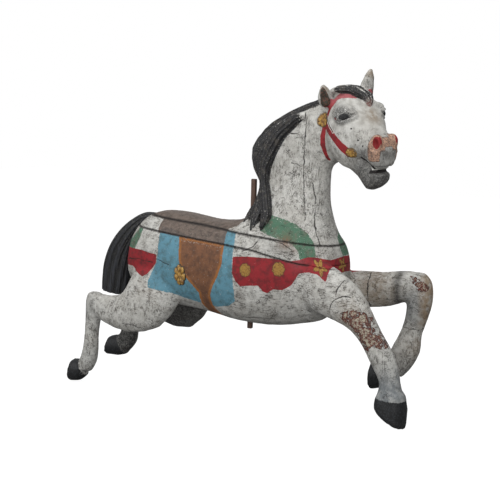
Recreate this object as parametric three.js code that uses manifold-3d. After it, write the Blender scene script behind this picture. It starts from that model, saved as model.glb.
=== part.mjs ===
import * as THREE from "three";
import { mergeVertices } from "three/addons/utils/BufferGeometryUtils.js";
import Module from "manifold-3d";

// Carved carousel horse in full gallop, carried by a slim wooden post through the trunk.
// Millimetres. The horse faces +X, +Z is up, its left side is +Y.
// The origin is the centre of the post's lower end face.

const POST_X = 16;            // post section along the horse
const POST_Y = 14;            // post section across the horse
const POST_HEIGHT = 497;      // foot of the post to its top end
const FIT_GAP = 0.4;          // clearance round the post and round the tail root
const LEG_Y = 118;            // sideways distance of a leg from the middle of the trunk
const HEAD_YAW = 25;          // degrees the head is turned to the horse's right
const HEAD_TILT = 5;          // degrees the head leans down on its right side
const HEAD_ROOT = 290;        // x where the head's own middle plane crosses the trunk's
const EYE_P = 108;            // eye: forward along the head
const EYE_S = 79;             // eye: sideways from the middle of the head
const EYE_Z = 712;            // eye height
const NOSTRIL_P = 222;
const NOSTRIL_S = 31;
const NOSTRIL_Z = 634;
const SKIN_SIDES = 20;        // facets round the trunk and neck
const LIMB_SIDES = 12;        // facets round a leg
const LOCK_SIDES = 8;         // facets round a lock of hair

const kit = await Module();
kit.setup();

const rad = (deg) => (deg * Math.PI) / 180;
const vec = (x, y, z) => new THREE.Vector3(x, y, z);
const Y_AXIS = vec(0, 1, 0);

// ---- lofting ----

// One oval section: centre, half-height vector, half-width vector, squareness (2 is an ellipse).
const section = (centre, up, side, square = 2) => ({ centre, up, side, square });

// Section between a top and a bottom point of the side view, both [x, z], at sideways position y.
function slice(top, bottom, halfWidth, y = 0, square = 2.3) {
  const a = vec(top[0], y, top[1]);
  const b = vec(bottom[0], y, bottom[1]);
  const up = a.clone().sub(b).multiplyScalar(0.5);
  return section(a.add(b).multiplyScalar(0.5), up, vec(0, halfWidth, 0), square);
}

// Sections square to a path of [x, y, z, halfDepth, halfWidth] stations.
function along(path, across = Y_AXIS, square = 2.1) {
  const points = path.map(([x, y, z]) => vec(x, y, z));
  return path.map(([, , , depth, width], i) => {
    const before = points[Math.max(0, i - 1)];
    const after = points[Math.min(points.length - 1, i + 1)];
    const run = after.clone().sub(before).normalize();
    const side = across.clone().addScaledVector(run, -across.dot(run)).normalize();
    const up = side.clone().cross(run).normalize();
    return section(points[i], up.multiplyScalar(depth), side.multiplyScalar(width), square);
  });
}

function spline(a, b, c, d, t) {
  const t2 = t * t;
  const t3 = t2 * t;
  return 0.5 * (2 * b + (c - a) * t + (2 * a - 5 * b + 4 * c - d) * t2 + (3 * b - a - 3 * c + d) * t3);
}

function splineVector(list, i, t) {
  const at = (k) => list[Math.min(list.length - 1, Math.max(0, k))];
  const [a, b, c, d] = [at(i - 1), at(i), at(i + 1), at(i + 2)];
  return vec(spline(a.x, b.x, c.x, d.x, t), spline(a.y, b.y, c.y, d.y, t), spline(a.z, b.z, c.z, d.z, t));
}

// Fills in smooth sections between the given ones.
function refine(sections, steps) {
  const out = [];
  const centres = sections.map((s) => s.centre);
  const ups = sections.map((s) => s.up);
  const sides = sections.map((s) => s.side);
  for (let i = 0; i < sections.length - 1; i++) {
    for (let k = 0; k < steps; k++) {
      const t = k / steps;
      const square = sections[i].square * (1 - t) + sections[i + 1].square * t;
      out.push(section(splineVector(centres, i, t), splineVector(ups, i, t), splineVector(sides, i, t), square));
    }
  }
  out.push(sections[sections.length - 1]);
  return out;
}

function ringPoints({ centre, up, side, square }, sides) {
  const power = 2 / square;
  return Array.from({ length: sides }, (_, k) => {
    const angle = (2 * Math.PI * k) / sides;
    const c = Math.cos(angle);
    const s = Math.sin(angle);
    return centre
      .clone()
      .addScaledVector(side, Math.sign(c) * Math.abs(c) ** power)
      .addScaledVector(up, Math.sign(s) * Math.abs(s) ** power);
  });
}

function solidFrom(points, triangles) {
  const geometry = new THREE.BufferGeometry();
  geometry.setAttribute("position", new THREE.Float32BufferAttribute(points.flatMap((p) => p.toArray()), 3));
  geometry.setIndex(triangles);
  return toSolid(geometry);
}

function toSolid(source) {
  const geometry = source.clone();
  geometry.deleteAttribute("normal");
  geometry.deleteAttribute("uv");
  const merged = mergeVertices(geometry, 1e-4);
  const mesh = new kit.Mesh({
    numProp: 3,
    vertProperties: new Float32Array(merged.attributes.position.array),
    triVerts: new Uint32Array(merged.index.array),
  });
  const solid = new kit.Manifold(mesh);
  return solid;
}

// Closed solid through a row of sections, with flat ends.
function loft(sections, { steps = 2, sides = LIMB_SIDES } = {}) {
  const rows = refine(sections, steps);
  const points = rows.flatMap((row) => ringPoints(row, sides));
  const triangles = [];
  for (let r = 0; r < rows.length - 1; r++) {
    for (let k = 0; k < sides; k++) {
      const a = r * sides + k;
      const b = r * sides + ((k + 1) % sides);
      triangles.push(a, b, b + sides, a, b + sides, a + sides);
    }
  }
  const first = points.push(rows[0].centre) - 1;
  const last = points.push(rows[rows.length - 1].centre) - 1;
  const end = (rows.length - 1) * sides;
  for (let k = 0; k < sides; k++) {
    const next = (k + 1) % sides;
    triangles.push(first, next, k, last, end + k, end + next);
  }
  if (volumeOf(points, triangles) < 0) triangles.reverse();
  return solidFrom(points, triangles);
}

function volumeOf(points, triangles) {
  let total = 0;
  for (let i = 0; i < triangles.length; i += 3) {
    const [a, b, c] = [points[triangles[i]], points[triangles[i + 1]], points[triangles[i + 2]]];
    total += a.dot(b.clone().cross(c));
  }
  return total / 6;
}

function block(sizeX, sizeY, sizeZ, x, y, z) {
  const geometry = new THREE.BoxGeometry(sizeX, sizeY, sizeZ);
  geometry.translate(x, y, z);
  return toSolid(geometry);
}

const unite = (solids) => solids.reduce((sum, next) => sum.add(next));

// ---- trunk ----

function trunk() {
  return loft(
    [
      slice([-458, 268], [-474, 186], 30),
      slice([-438, 306], [-462, 126], 78),
      slice([-396, 350], [-420, 86], 112),
      slice([-340, 371], [-350, 62], 134),
      slice([-250, 369], [-250, 50], 146),
      slice([-150, 356], [-150, 46], 150),
      slice([-50, 361], [-50, 31], 153),
      slice([40, 390], [40, 25], 153),
      slice([130, 398], [130, 30], 150),
      slice([210, 385], [210, 46], 142),
      slice([270, 360], [270, 64], 124),
      slice([310, 324], [312, 112], 92),
      slice([331, 280], [331, 168], 52),
      slice([338, 244], [338, 202], 20),
    ],
    { sides: 24 },
  );
}

// ---- neck and mane ----

function neck() {
  return loft(
    [
      slice([90, 330], [285, 235], 112),
      slice([50, 372], [312, 300], 116),
      slice([44, 410], [291, 362], 92),
      slice([43, 460], [274, 432], 72),
      slice([40, 520], [272, 495], 62),
      slice([30, 590], [274, 535], 60),
      slice([66, 655], [282, 556], 60),
      slice([145, 702], [298, 566], 60),
      slice([235, 746], [322, 590], 60),
      slice([310, 775], [352, 620], 52),
    ],
    { sides: SKIN_SIDES },
  );
}

// Locks of the mane: each a path of [x, y, z, halfDepth, halfWidth] down the right of the neck.
const MANE_LOCKS = [
  [[264, -18, 756, 12, 14], [178, -12, 718, 18, 20], [114, -12, 684, 22, 24], [64, -14, 644, 25, 24],
    [28, -18, 592, 26, 24], [31, -18, 540, 22, 22], [54, -22, 495, 18, 20], [58, -34, 445, 16, 20],
    [36, -56, 396, 18, 16], [12, -74, 364, 5, 6]],
  [[236, -26, 722, 8, 12], [154, -34, 692, 18, 20], [92, -38, 640, 22, 22], [56, -40, 590, 22, 22],
    [50, -42, 540, 18, 22], [66, -46, 490, 14, 20], [66, -60, 445, 18, 18], [62, -82, 395, 20, 18],
    [58, -108, 345, 6, 6]],
  [[238, -38, 716, 8, 12], [176, -51, 698, 16, 16], [122, -55, 652, 22, 18], [88, -56, 598, 24, 18],
    [72, -58, 545, 18, 18], [72, -61, 495, 14, 17], [86, -76, 442, 18, 17], [102, -96, 392, 18, 15],
    [94, -116, 352, 6, 6]],
];

const mane = () => unite(MANE_LOCKS.map((path) => loft(along(path), { sides: LOCK_SIDES, steps: 2 })));

// ---- head ----

// Turns head coordinates (p forward, s to the left, z up) into the horse's frame.
function headPoint(p, s, z) {
  const yaw = rad(HEAD_YAW);
  const tilt = rad(HEAD_TILT);
  const flat = s * Math.cos(tilt);
  return vec(
    HEAD_ROOT + p * Math.cos(yaw) + flat * Math.sin(yaw),
    -p * Math.sin(yaw) + flat * Math.cos(yaw),
    z + s * Math.sin(tilt),
  );
}

const HEAD_SIDE = headPoint(0, 1, 0).sub(headPoint(0, 0, 0));

function headSlice(top, bottom, halfWidth, square = 2.2) {
  const a = headPoint(top[0], 0, top[1]);
  const b = headPoint(bottom[0], 0, bottom[1]);
  const up = a.clone().sub(b).multiplyScalar(0.5);
  const side = HEAD_SIDE.clone().multiplyScalar(halfWidth);
  return section(a.add(b).multiplyScalar(0.5), up, side, square);
}

function skull() {
  return loft(
    [
      headSlice([-12, 768], [15, 610], 50),
      headSlice([35, 790], [40, 574], 70),
      headSlice([88, 784], [82, 555], 82, 2.5),
      headSlice([132, 752], [118, 552], 84, 2.5),
      headSlice([162, 710], [146, 564], 66),
      headSlice([194, 672], [172, 570], 52),
      headSlice([222, 656], [192, 568], 48),
      headSlice([236, 634], [210, 561], 45),
      headSlice([240, 612], [226, 562], 36),
      headSlice([238, 598], [234, 576], 20),
    ],
    { sides: SKIN_SIDES },
  );
}

function lowerJaw() {
  return loft(
    [
      headSlice([70, 680], [60, 568], 66),
      headSlice([125, 650], [112, 546], 62),
      headSlice([166, 616], [147, 522], 49),
      headSlice([196, 574], [171, 494], 41),
      headSlice([219, 551], [198, 501], 36),
      headSlice([228, 540], [218, 516], 20),
    ],
    { sides: LIMB_SIDES },
  );
}

function ball(p, s, z, rp, rs, rz, detail = 10) {
  const geometry = new THREE.SphereGeometry(1, detail, Math.round(detail * 0.7));
  geometry.scale(rp, rs, rz);
  geometry.rotateZ(-rad(HEAD_YAW));
  const at = headPoint(p, s, z);
  geometry.translate(at.x, at.y, at.z);
  return toSolid(geometry);
}

// An ear stands at p along the head; side is -1 on the right; lean moves its tip forward.
function ear(side, p, lean, tipZ) {
  const base = headPoint(p, side * 62, 742);
  const tip = headPoint(p + lean, side * 82, tipZ);
  const at = (t) => base.clone().lerp(tip, t);
  const row = [[0, 18, 20], [0.3, 21, 26], [0.55, 19, 24], [0.8, 12, 16], [1, 4, 5]];
  const path = row.map(([t, depth, width]) => [...at(t).toArray(), depth, width]);
  const outer = loft(along(path, HEAD_SIDE), { sides: 10, steps: 1 });
  const scoopRow = [[0.18, 5, 6], [0.4, 9, 11], [0.65, 8, 9], [0.92, 1, 1]];
  const out = headPoint(14, side * 16, 0).sub(headPoint(0, 0, 0)).setZ(0);
  const scoopPath = scoopRow.map(([t, depth, width]) => [...at(t).add(out).toArray(), depth, width]);
  return outer.subtract(loft(along(scoopPath, HEAD_SIDE), { sides: 8, steps: 1 }));
}

function forelock() {
  const path = [[6, -34, 776], [46, -24, 791], [92, -6, 788], [126, 8, 768], [142, 6, 746]];
  const sizes = [[12, 22], [13, 34], [13, 30], [12, 22], [7, 10]];
  const stations = path.map(([p, s, z], i) => [...headPoint(p, s, z).toArray(), ...sizes[i]]);
  return loft(along(stations, HEAD_SIDE), { sides: 10, steps: 2 });
}

function head() {
  const eyes = [-1, 1].map((side) => ball(EYE_P, side * EYE_S, EYE_Z, 23, 12, 16));
  const rims = [-1, 1].map((side) => ball(NOSTRIL_P - 2, side * NOSTRIL_S, NOSTRIL_Z, 21, 13, 27));
  const nostrils = [-1, 1].map((side) => ball(NOSTRIL_P + 1, side * (NOSTRIL_S + 12), NOSTRIL_Z, 13, 13, 19, 8));
  const brows = [-1, 1].map((side) => ball(EYE_P - 2, side * (EYE_S - 18), EYE_Z + 17, 40, 19, 22));
  const teeth = ball(206, 0, 563, 22, 34, 10);
  const mouth = ball(236, 0, 554, 38, 60, 4, 12);
  const full = unite([skull(), lowerJaw(), teeth, ...eyes, ...brows, ...rims]);
  const opened = [...nostrils, mouth].reduce((solid, cut) => solid.subtract(cut), full);
  return unite([opened, ear(-1, 26, -2, 807), ear(1, 50, 4, 847), forelock()]);
}

// ---- legs ----

function nearHindLeg() {
  const y = -LEG_Y;
  const thigh = loft(along([
    [-270, y + 62, 245, 74, 36], [-284, y + 34, 188, 92, 46], [-308, y + 12, 118, 102, 51],
    [-352, y + 4, 55, 96, 49], [-425, y, 18, 69, 43], [-500, y, 20, 51, 36], [-552, y, 32, 42, 30],
  ]));
  const cannon = loft(along([
    [-555, y, 72, 26, 22], [-558, y, 46, 37, 27], [-566, y, 0, 31, 25], [-574, y, -70, 26, 23],
    [-579, y, -130, 29, 26], [-588, y, -170, 32, 27], [-608, y, -202, 29, 27],
  ]));
  const hoof = loft([
    slice([-624, -178], [-596, -231], 28, y), slice([-642, -177], [-626, -254], 34, y),
    slice([-654, -176], [-669, -260], 36, y),
  ], { steps: 1 });
  return unite([thigh, cannon, hoof]);
}

function farHindLeg() {
  const y = LEG_Y;
  const thigh = loft(along([
    [-266, y - 62, 240, 74, 36], [-284, y - 34, 172, 92, 46], [-310, y - 12, 86, 102, 51],
    [-358, y - 4, 22, 96, 49], [-430, y, 16, 68, 43], [-520, y, 44, 47, 36], [-580, y, 64, 40, 30],
  ]));
  const cannon = loft(along([
    [-584, y, 106, 26, 22], [-588, y, 76, 36, 27], [-590, y, 30, 30, 25], [-586, y, -40, 28, 23],
    [-582, y, -90, 33, 26], [-590, y, -134, 38, 28], [-618, y, -166, 36, 28],
  ]));
  const hoof = loft([
    slice([-632, -130], [-592, -198], 28, y), slice([-654, -134], [-634, -211], 33, y),
    slice([-672, -140], [-690, -212], 36, y),
  ], { steps: 1 });
  return unite([thigh, cannon, hoof]);
}

function nearForeLeg() {
  const y = -LEG_Y - 6;
  const limb = loft(along([
    [205, y + 70, 215, 60, 36], [258, y + 42, 200, 76, 46], [328, y + 16, 180, 77, 50],
    [408, y + 4, 144, 63, 45], [458, y, 98, 41, 41], [493, y, 51, 35, 37], [521, y, 8, 38, 35],
    [543, y, -34, 36, 31], [554, y, -70, 32, 29], [556, y, -106, 40, 35],
  ]));
  const hoof = loft([
    slice([518, -106], [602, -98], 40, y), slice([509, -126], [611, -148], 45, y),
    slice([512, -150], [607, -205], 47, y),
  ], { steps: 1 });
  return unite([limb, hoof]);
}

function farForeLeg() {
  const y = LEG_Y;
  const forearm = loft(along([
    [210, y - 60, 175, 68, 40], [290, y - 24, 156, 62, 50], [365, y - 4, 158, 60, 47],
    [435, y, 165, 56, 43], [495, y, 182, 50, 40], [538, y, 187, 44, 36],
  ]));
  const cannon = loft(along([
    [532, y, 226, 22, 22], [538, y, 196, 44, 34], [544, y, 142, 43, 34], [538, y, 90, 36, 30],
    [523, y, 35, 34, 29], [513, y, -10, 44, 31], [490, y, -58, 44, 31], [464, y, -92, 40, 30],
  ]));
  const hoof = loft([
    slice([470, -56], [458, -142], 32, y), slice([434, -62], [424, -162], 39, y),
    slice([396, -70], [392, -170], 41, y),
  ], { steps: 1 });
  return unite([forearm, cannon, hoof]);
}

// ---- tail and post ----

const TAIL_PATH = [
  [-372, 0, 342, 14, 24], [-428, 0, 330, 26, 32], [-488, 0, 280, 40, 38], [-530, 0, 215, 52, 42],
  [-553, 0, 140, 58, 42], [-562, 0, 60, 54, 40],
];

const grown = (path, extra) => path.map(([x, y, z, d, w]) => [x, y, z, d + extra, w + extra]);

const tailSolid = (extra = 0) => loft(along(grown(TAIL_PATH, extra)), { sides: 12, steps: 3 });

const postSolid = (extra = 0) =>
  block(POST_X + 2 * extra, POST_Y + 2 * extra, POST_HEIGHT, 0, 0, POST_HEIGHT / 2);

// ---- whole object ----

function horseSolid() {
  const figure = unite([
    trunk(), neck(), mane(), head(), nearHindLeg(), farHindLeg(), nearForeLeg(), farForeLeg(),
  ]);
  return figure.subtract(postSolid(FIT_GAP)).subtract(tailSolid(FIT_GAP));
}

function meshFrom(solid, name, color, roughness) {
  const data = solid.getMesh();
  const geometry = new THREE.BufferGeometry();
  geometry.setAttribute("position", new THREE.Float32BufferAttribute(data.vertProperties, 3));
  geometry.setIndex(new THREE.Uint32BufferAttribute(data.triVerts, 1));
  geometry.computeVertexNormals();
  const mesh = new THREE.Mesh(geometry, new THREE.MeshStandardMaterial({ color, roughness, metalness: 0 }));
  mesh.name = name;
  return mesh;
}

const carouselHorse = new THREE.Group();
carouselHorse.name = "carousel_horse";
carouselHorse.add(meshFrom(horseSolid(), "horse", 0xb9b6b0, 0.7));
carouselHorse.add(meshFrom(tailSolid(), "tail", 0x2d2d32, 0.7));
carouselHorse.add(meshFrom(postSolid(), "post", 0x503e37, 0.8));

export default carouselHorse;
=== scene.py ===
import bpy
import bmesh
import math
import numpy as np
from mathutils import Matrix, Vector
from mathutils.bvhtree import BVHTree


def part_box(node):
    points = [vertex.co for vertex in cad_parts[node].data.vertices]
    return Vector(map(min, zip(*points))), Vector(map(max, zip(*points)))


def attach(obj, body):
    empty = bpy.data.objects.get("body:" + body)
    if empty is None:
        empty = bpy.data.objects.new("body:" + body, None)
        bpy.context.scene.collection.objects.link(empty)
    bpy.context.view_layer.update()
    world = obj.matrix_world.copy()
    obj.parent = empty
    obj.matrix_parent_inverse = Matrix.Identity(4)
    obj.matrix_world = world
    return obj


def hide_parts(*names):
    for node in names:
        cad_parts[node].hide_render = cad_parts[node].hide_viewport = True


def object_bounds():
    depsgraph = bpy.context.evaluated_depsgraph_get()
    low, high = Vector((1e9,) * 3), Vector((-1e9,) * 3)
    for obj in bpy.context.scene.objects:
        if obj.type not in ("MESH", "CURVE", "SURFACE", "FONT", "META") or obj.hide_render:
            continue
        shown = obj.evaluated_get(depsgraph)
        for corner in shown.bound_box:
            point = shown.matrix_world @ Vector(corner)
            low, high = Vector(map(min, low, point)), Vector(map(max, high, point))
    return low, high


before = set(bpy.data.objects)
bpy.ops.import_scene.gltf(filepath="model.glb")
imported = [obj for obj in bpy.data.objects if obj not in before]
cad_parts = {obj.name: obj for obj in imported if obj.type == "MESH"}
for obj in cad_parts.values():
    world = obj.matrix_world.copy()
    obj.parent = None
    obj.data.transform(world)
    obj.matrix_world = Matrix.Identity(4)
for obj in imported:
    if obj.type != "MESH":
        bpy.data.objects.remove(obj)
cad_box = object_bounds()
scene = bpy.context.scene

# ---- Studio ----
# A pale floor just under the lowest hoof, a bright surround and soft lamps from above.
# The camera stands ahead of the horse's right shoulder, slightly above its back.

FLOOR_Z = cad_box[0].z - 0.002
VIEW_AIM = Vector((-0.0084, 0.0, 0.2618))
VIEW_AZIMUTH = math.radians(30)
VIEW_RISE = math.radians(8)
VIEW_ROLL = math.radians(1.6)
VIEW_DISTANCE = 3.3

back = Vector((
    math.sin(VIEW_AZIMUTH) * math.cos(VIEW_RISE),
    -math.cos(VIEW_AZIMUTH) * math.cos(VIEW_RISE),
    math.sin(VIEW_RISE),
))
level = Vector((0, 0, 1)).cross(back).normalized()
upright = back.cross(level)
across = level * math.cos(VIEW_ROLL) + upright * math.sin(VIEW_ROLL)
upward = upright * math.cos(VIEW_ROLL) - level * math.sin(VIEW_ROLL)
stand = VIEW_AIM + back * VIEW_DISTANCE
camera = bpy.data.objects.new("camera", bpy.data.cameras.new("camera"))
camera.data.lens = 72
camera.data.sensor_width = 36
camera.matrix_world = Matrix((
    (across.x, upward.x, back.x, stand.x),
    (across.y, upward.y, back.y, stand.y),
    (across.z, upward.z, back.z, stand.z),
    (0, 0, 0, 1),
))
scene.collection.objects.link(camera)
scene.camera = camera
scene.view_settings.view_transform = "Standard"


def wire(tree, kind, inputs=None, **settings):
    """Adds a node of the kind, sets its properties, and plugs or sets each named input."""
    node = tree.nodes.new(kind if kind.startswith("NodeGroup") else "ShaderNode" + kind)
    for name, value in settings.items():
        setattr(node, name, value)
    for name, value in (inputs or {}).items():
        socket = node.inputs[name]
        if isinstance(value, bpy.types.NodeSocket):
            tree.links.new(value, socket)
        else:
            socket.default_value = value
    return node


def calc(tree, operation, a, b=0.0):
    """One Math node; returns its output."""
    return wire(tree, "Math", {0: a, 1: b}, operation=operation).outputs[0]


def times(tree, a, b):
    return calc(tree, "MULTIPLY", a, b)


def plus(tree, a, b):
    return calc(tree, "ADD", a, b)


def minus(tree, a, b):
    return calc(tree, "SUBTRACT", a, b)


def tint(red, green, blue):
    """Paint colour given as 0-255 shades, in linear light."""
    return (*(((c / 255 + 0.055) / 1.055) ** 2.4 if c > 10 else c / 3294.6 for c in (red, green, blue)), 1.0)


def soft_lamp(name, place, aim, size, power):
    lamp = bpy.data.lights.new(name, "AREA")
    lamp.shape = "DISK"
    lamp.size = size
    lamp.energy = power
    holder = bpy.data.objects.new(name, lamp)
    holder.location = place
    holder.rotation_euler = (Vector(aim) - Vector(place)).to_track_quat("-Z", "Y").to_euler()
    scene.collection.objects.link(holder)


soft_lamp("overhead_lamp", (0.4, -0.9, 3.2), (0, 0, 0.2), 2.2, 34)
soft_lamp("front_lamp", (2.2, -3.0, 1.5), (0, 0, 0.3), 1.8, 50)
soft_lamp("rear_lamp", (-1.6, -3.2, 1.3), (0, 0, 0.2), 1.8, 42)
soft_lamp("far_lamp", (-1.2, 3.0, 1.5), (0, 0, 0.2), 2.0, 20)

surround = bpy.data.worlds.new("surround")
scene.world = surround
surround.use_nodes = True
sky = surround.node_tree
sky.nodes.clear()
height = wire(sky, "SeparateXYZ", {0: wire(sky, "TexCoord").outputs["Generated"]}).outputs["Z"]
fall = wire(sky, "MapRange", {"Value": height, "From Min": -0.3, "From Max": 0.9, "To Min": 0.08,
    "To Max": 0.55})
seen = wire(sky, "LightPath").outputs["Is Camera Ray"]
strength = wire(sky, "Mix", {"Factor": seen, "A": fall.outputs["Result"], "B": 1.0})
glow = wire(sky, "Background", {"Color": (1, 1, 1, 1), "Strength": strength.outputs["Result"]})
wire(sky, "OutputWorld", {"Surface": glow.outputs[0]})

floor_mesh = bpy.data.meshes.new("studio_floor")
floor_mesh.from_pydata(
    [(-9, -9, FLOOR_Z), (9, -9, FLOOR_Z), (9, 9, FLOOR_Z), (-9, 9, FLOOR_Z)], [], [(0, 1, 2, 3)]
)
studio_floor = bpy.data.objects.new("studio_floor", floor_mesh)
scene.collection.objects.link(studio_floor)
floor_paint = bpy.data.materials.new("floor_paint")
floor_paint.use_nodes = True
tree = floor_paint.node_tree
tree.nodes.clear()
dim = wire(tree, "BsdfDiffuse", {"Color": (0.2, 0.2, 0.2, 1)})
bright = wire(tree, "Emission", {"Color": (1, 1, 1, 1), "Strength": 0.95})
shown = wire(tree, "AddShader", {0: wire(tree, "BsdfDiffuse", {"Color": (0.16, 0.16, 0.16, 1)}).outputs[0],
    1: bright.outputs[0]})
seen = wire(tree, "LightPath").outputs["Is Camera Ray"]
either = wire(tree, "MixShader", {0: seen, 1: dim.outputs[0], 2: shown.outputs[0]})
wire(tree, "OutputMaterial", {"Surface": either.outputs[0]})
floor_mesh.materials.append(floor_paint)

# ---- Post ----
# A slim square hardwood bar that passes up through the trunk behind the neck.
# Sawn, with rubbed corners and dark varnish gone dull; it is a tight fit in the carving.

MM = 0.001


def closed_skin(name, rings, material):
    """Mesh object through closed rings of points, with a fan over each end. Rings run along the piece."""
    count = len(rings[0])
    rows = len(rings)
    points = np.concatenate([np.array(rings).reshape(-1, 3), [np.mean(rings[0], 0)], [np.mean(rings[-1], 0)]])
    faces = []
    for r in range(rows - 1):
        for k in range(count):
            n = (k + 1) % count
            faces.append((r * count + k, r * count + n, (r + 1) * count + n, (r + 1) * count + k))
    for k in range(count):
        n = (k + 1) % count
        faces.append((rows * count, n, k))
        faces.append((rows * count + 1, (rows - 1) * count + k, (rows - 1) * count + n))
    mesh = bpy.data.meshes.new(name)
    mesh.from_pydata(points.tolist(), [], faces)
    outward = bmesh.new()
    outward.from_mesh(mesh)
    bmesh.ops.recalc_face_normals(outward, faces=outward.faces)
    outward.to_mesh(mesh)
    outward.free()
    mesh.shade_smooth()
    mesh.materials.append(material)
    piece = bpy.data.objects.new(name, mesh)
    scene.collection.objects.link(piece)
    return piece


def ripple(points, size, seed):
    """Smooth wandering value from -1 to 1 at each point; size is the length of one swell in mm."""
    rng = np.random.default_rng(seed)
    total = np.zeros(len(points))
    for share in (1.0, 0.6, 0.4, 0.3):
        for _ in range(5):
            way = rng.normal(size=3)
            way *= 2 * math.pi / (size * share * np.linalg.norm(way))
            total += share * np.sin(points @ way + rng.uniform(0, 6.3))
    return total / 5.0


def noise(tree, place, scale, detail, roughness=0.5):
    settings = {"Vector": place, "Scale": scale, "Detail": detail, "Roughness": roughness}
    return wire(tree, "TexNoise", settings).outputs["Fac"]


def new_paint(name):
    """An empty painted finish: the material, its node tree and the place on the object in metres."""
    material = bpy.data.materials.new(name)
    material.use_nodes = True
    return material, material.node_tree, wire(material.node_tree, "TexCoord").outputs["Object"]


def dress(tree, colour, rough, relief, strength, height):
    """Plugs colour, roughness and relief into the finish; height is the depth of the relief in metres."""
    shader = tree.nodes["Principled BSDF"]
    tree.links.new(colour, shader.inputs["Base Color"])
    tree.links.new(rough, shader.inputs["Roughness"])
    bump = wire(tree, "Bump", {"Height": relief, "Strength": strength, "Distance": height})
    tree.links.new(bump.outputs[0], shader.inputs["Normal"])


post_paint, tree, place = new_paint("post_paint")
drawn = wire(tree, "Mapping", {"Vector": place, "Scale": (220, 220, 14)}).outputs[0]
fibre = noise(tree, drawn, 1.0, 5.0, 0.65)
worn = noise(tree, place, 60.0, 4.0)
ramp = wire(tree, "ValToRGB", {"Fac": fibre})
ramp.color_ramp.elements[0].position = 0.3
ramp.color_ramp.elements[0].color = tint(48, 36, 31)
ramp.color_ramp.elements[1].position = 0.72
ramp.color_ramp.elements[1].color = tint(118, 88, 72)
dulled = wire(tree, "Mix", {"Factor": times(tree, worn, 0.5), "A": ramp.outputs[0], "B": tint(92, 74, 64)},
    data_type="RGBA")
dress(tree, dulled.outputs["Result"], plus(tree, times(tree, fibre, 0.3), 0.5), fibre, 0.5, 0.0006)

low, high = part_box("post")
rings = []
for z in np.linspace(low.z, high.z, 140):
    end = min(z - low.z, high.z - z)
    shrink = 0.0006 * max(0.0, 1 - end / 0.0012)
    half_x, half_y, corner = (high.x - low.x) / 2 - shrink, (high.y - low.y) / 2 - shrink, 0.0018
    ring = []
    for quarter in range(4):
        sx, sy = ((1, 1), (-1, 1), (-1, -1), (1, -1))[quarter]
        for step in range(6):
            turn = math.radians(90 * quarter + 18 * step)
            ring.append((
                sx * (half_x - corner) + corner * math.cos(turn),
                sy * (half_y - corner) + corner * math.sin(turn),
                z,
            ))
    rings.append(ring)
rings = np.array(rings)
rings += np.array([(low.x + high.x) / 2, (low.y + high.y) / 2, 0])
flat = rings.reshape(-1, 3)
pull = (ripple(flat / MM * np.array([1, 1, 0.2]), 16, 3) - 1) * 0.00025
centre = np.array([(low.x + high.x) / 2, (low.y + high.y) / 2])
flat[:, :2] += (flat[:, :2] - centre) * (pull / 0.008)[:, None]
post = closed_skin("post_bar", rings, post_paint)
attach(post, "root")
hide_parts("post")

# ---- Carved horse: the blocks ----
# Glued-up softwood blocks carved as one figure: legs and lower trunk, a plank above them,
# and a top block with the neck and head. The glue lines have opened into dark gaps.

HEAD_YAW = math.radians(25)
HEAD_TILT = math.radians(5)
HEAD_ROOT = 290
EYE = (118, 79, 713)
NOSTRIL = (227, 38, 639)
MANE_LOCKS = [
    [
        (264, -18, 756, 12, 14), (178, -12, 718, 18, 20), (114, -12, 684, 22, 24),
        (64, -14, 644, 25, 24), (28, -18, 592, 26, 24), (31, -18, 540, 22, 22), (54, -22, 495, 18, 20),
        (58, -34, 445, 16, 20), (36, -56, 396, 18, 16), (12, -74, 364, 5, 6),
    ],
    [
        (236, -26, 722, 8, 12), (154, -34, 692, 18, 20), (92, -38, 640, 22, 22), (56, -40, 590, 22, 22),
        (50, -42, 540, 18, 22), (66, -46, 490, 14, 20), (66, -60, 445, 18, 18), (62, -82, 395, 20, 18),
        (58, -108, 345, 6, 6),
    ],
    [
        (238, -38, 716, 8, 12), (176, -51, 698, 16, 16), (122, -55, 652, 22, 18),
        (88, -56, 598, 24, 18), (72, -58, 545, 18, 18), (72, -61, 495, 14, 17), (86, -76, 442, 18, 17),
        (102, -96, 392, 18, 15), (94, -116, 352, 6, 6),
    ],
]
FORELOCK = [
    (6, -34, 776, 12, 22), (46, -24, 791, 13, 34), (92, -6, 788, 13, 30), (126, 8, 768, 12, 22),
    (142, 6, 746, 7, 10),
]


def in_head(points):
    """Body points (mm) as forward, left and up of the turned head."""
    x, y, z = points[:, 0] - HEAD_ROOT, points[:, 1], points[:, 2]
    forward = x * math.cos(HEAD_YAW) - y * math.sin(HEAD_YAW)
    left = (x * math.sin(HEAD_YAW) + y * math.cos(HEAD_YAW)) / math.cos(HEAD_TILT)
    return np.stack([forward, left, z - left * math.sin(HEAD_TILT)], 1)


def from_head(points):
    p, s, z = np.array(points, float).T
    flat_s = s * math.cos(HEAD_TILT)
    return np.stack([
        HEAD_ROOT + p * math.cos(HEAD_YAW) + flat_s * math.sin(HEAD_YAW),
        -p * math.sin(HEAD_YAW) + flat_s * math.cos(HEAD_YAW), z + s * math.sin(HEAD_TILT),
    ], 1)


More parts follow.
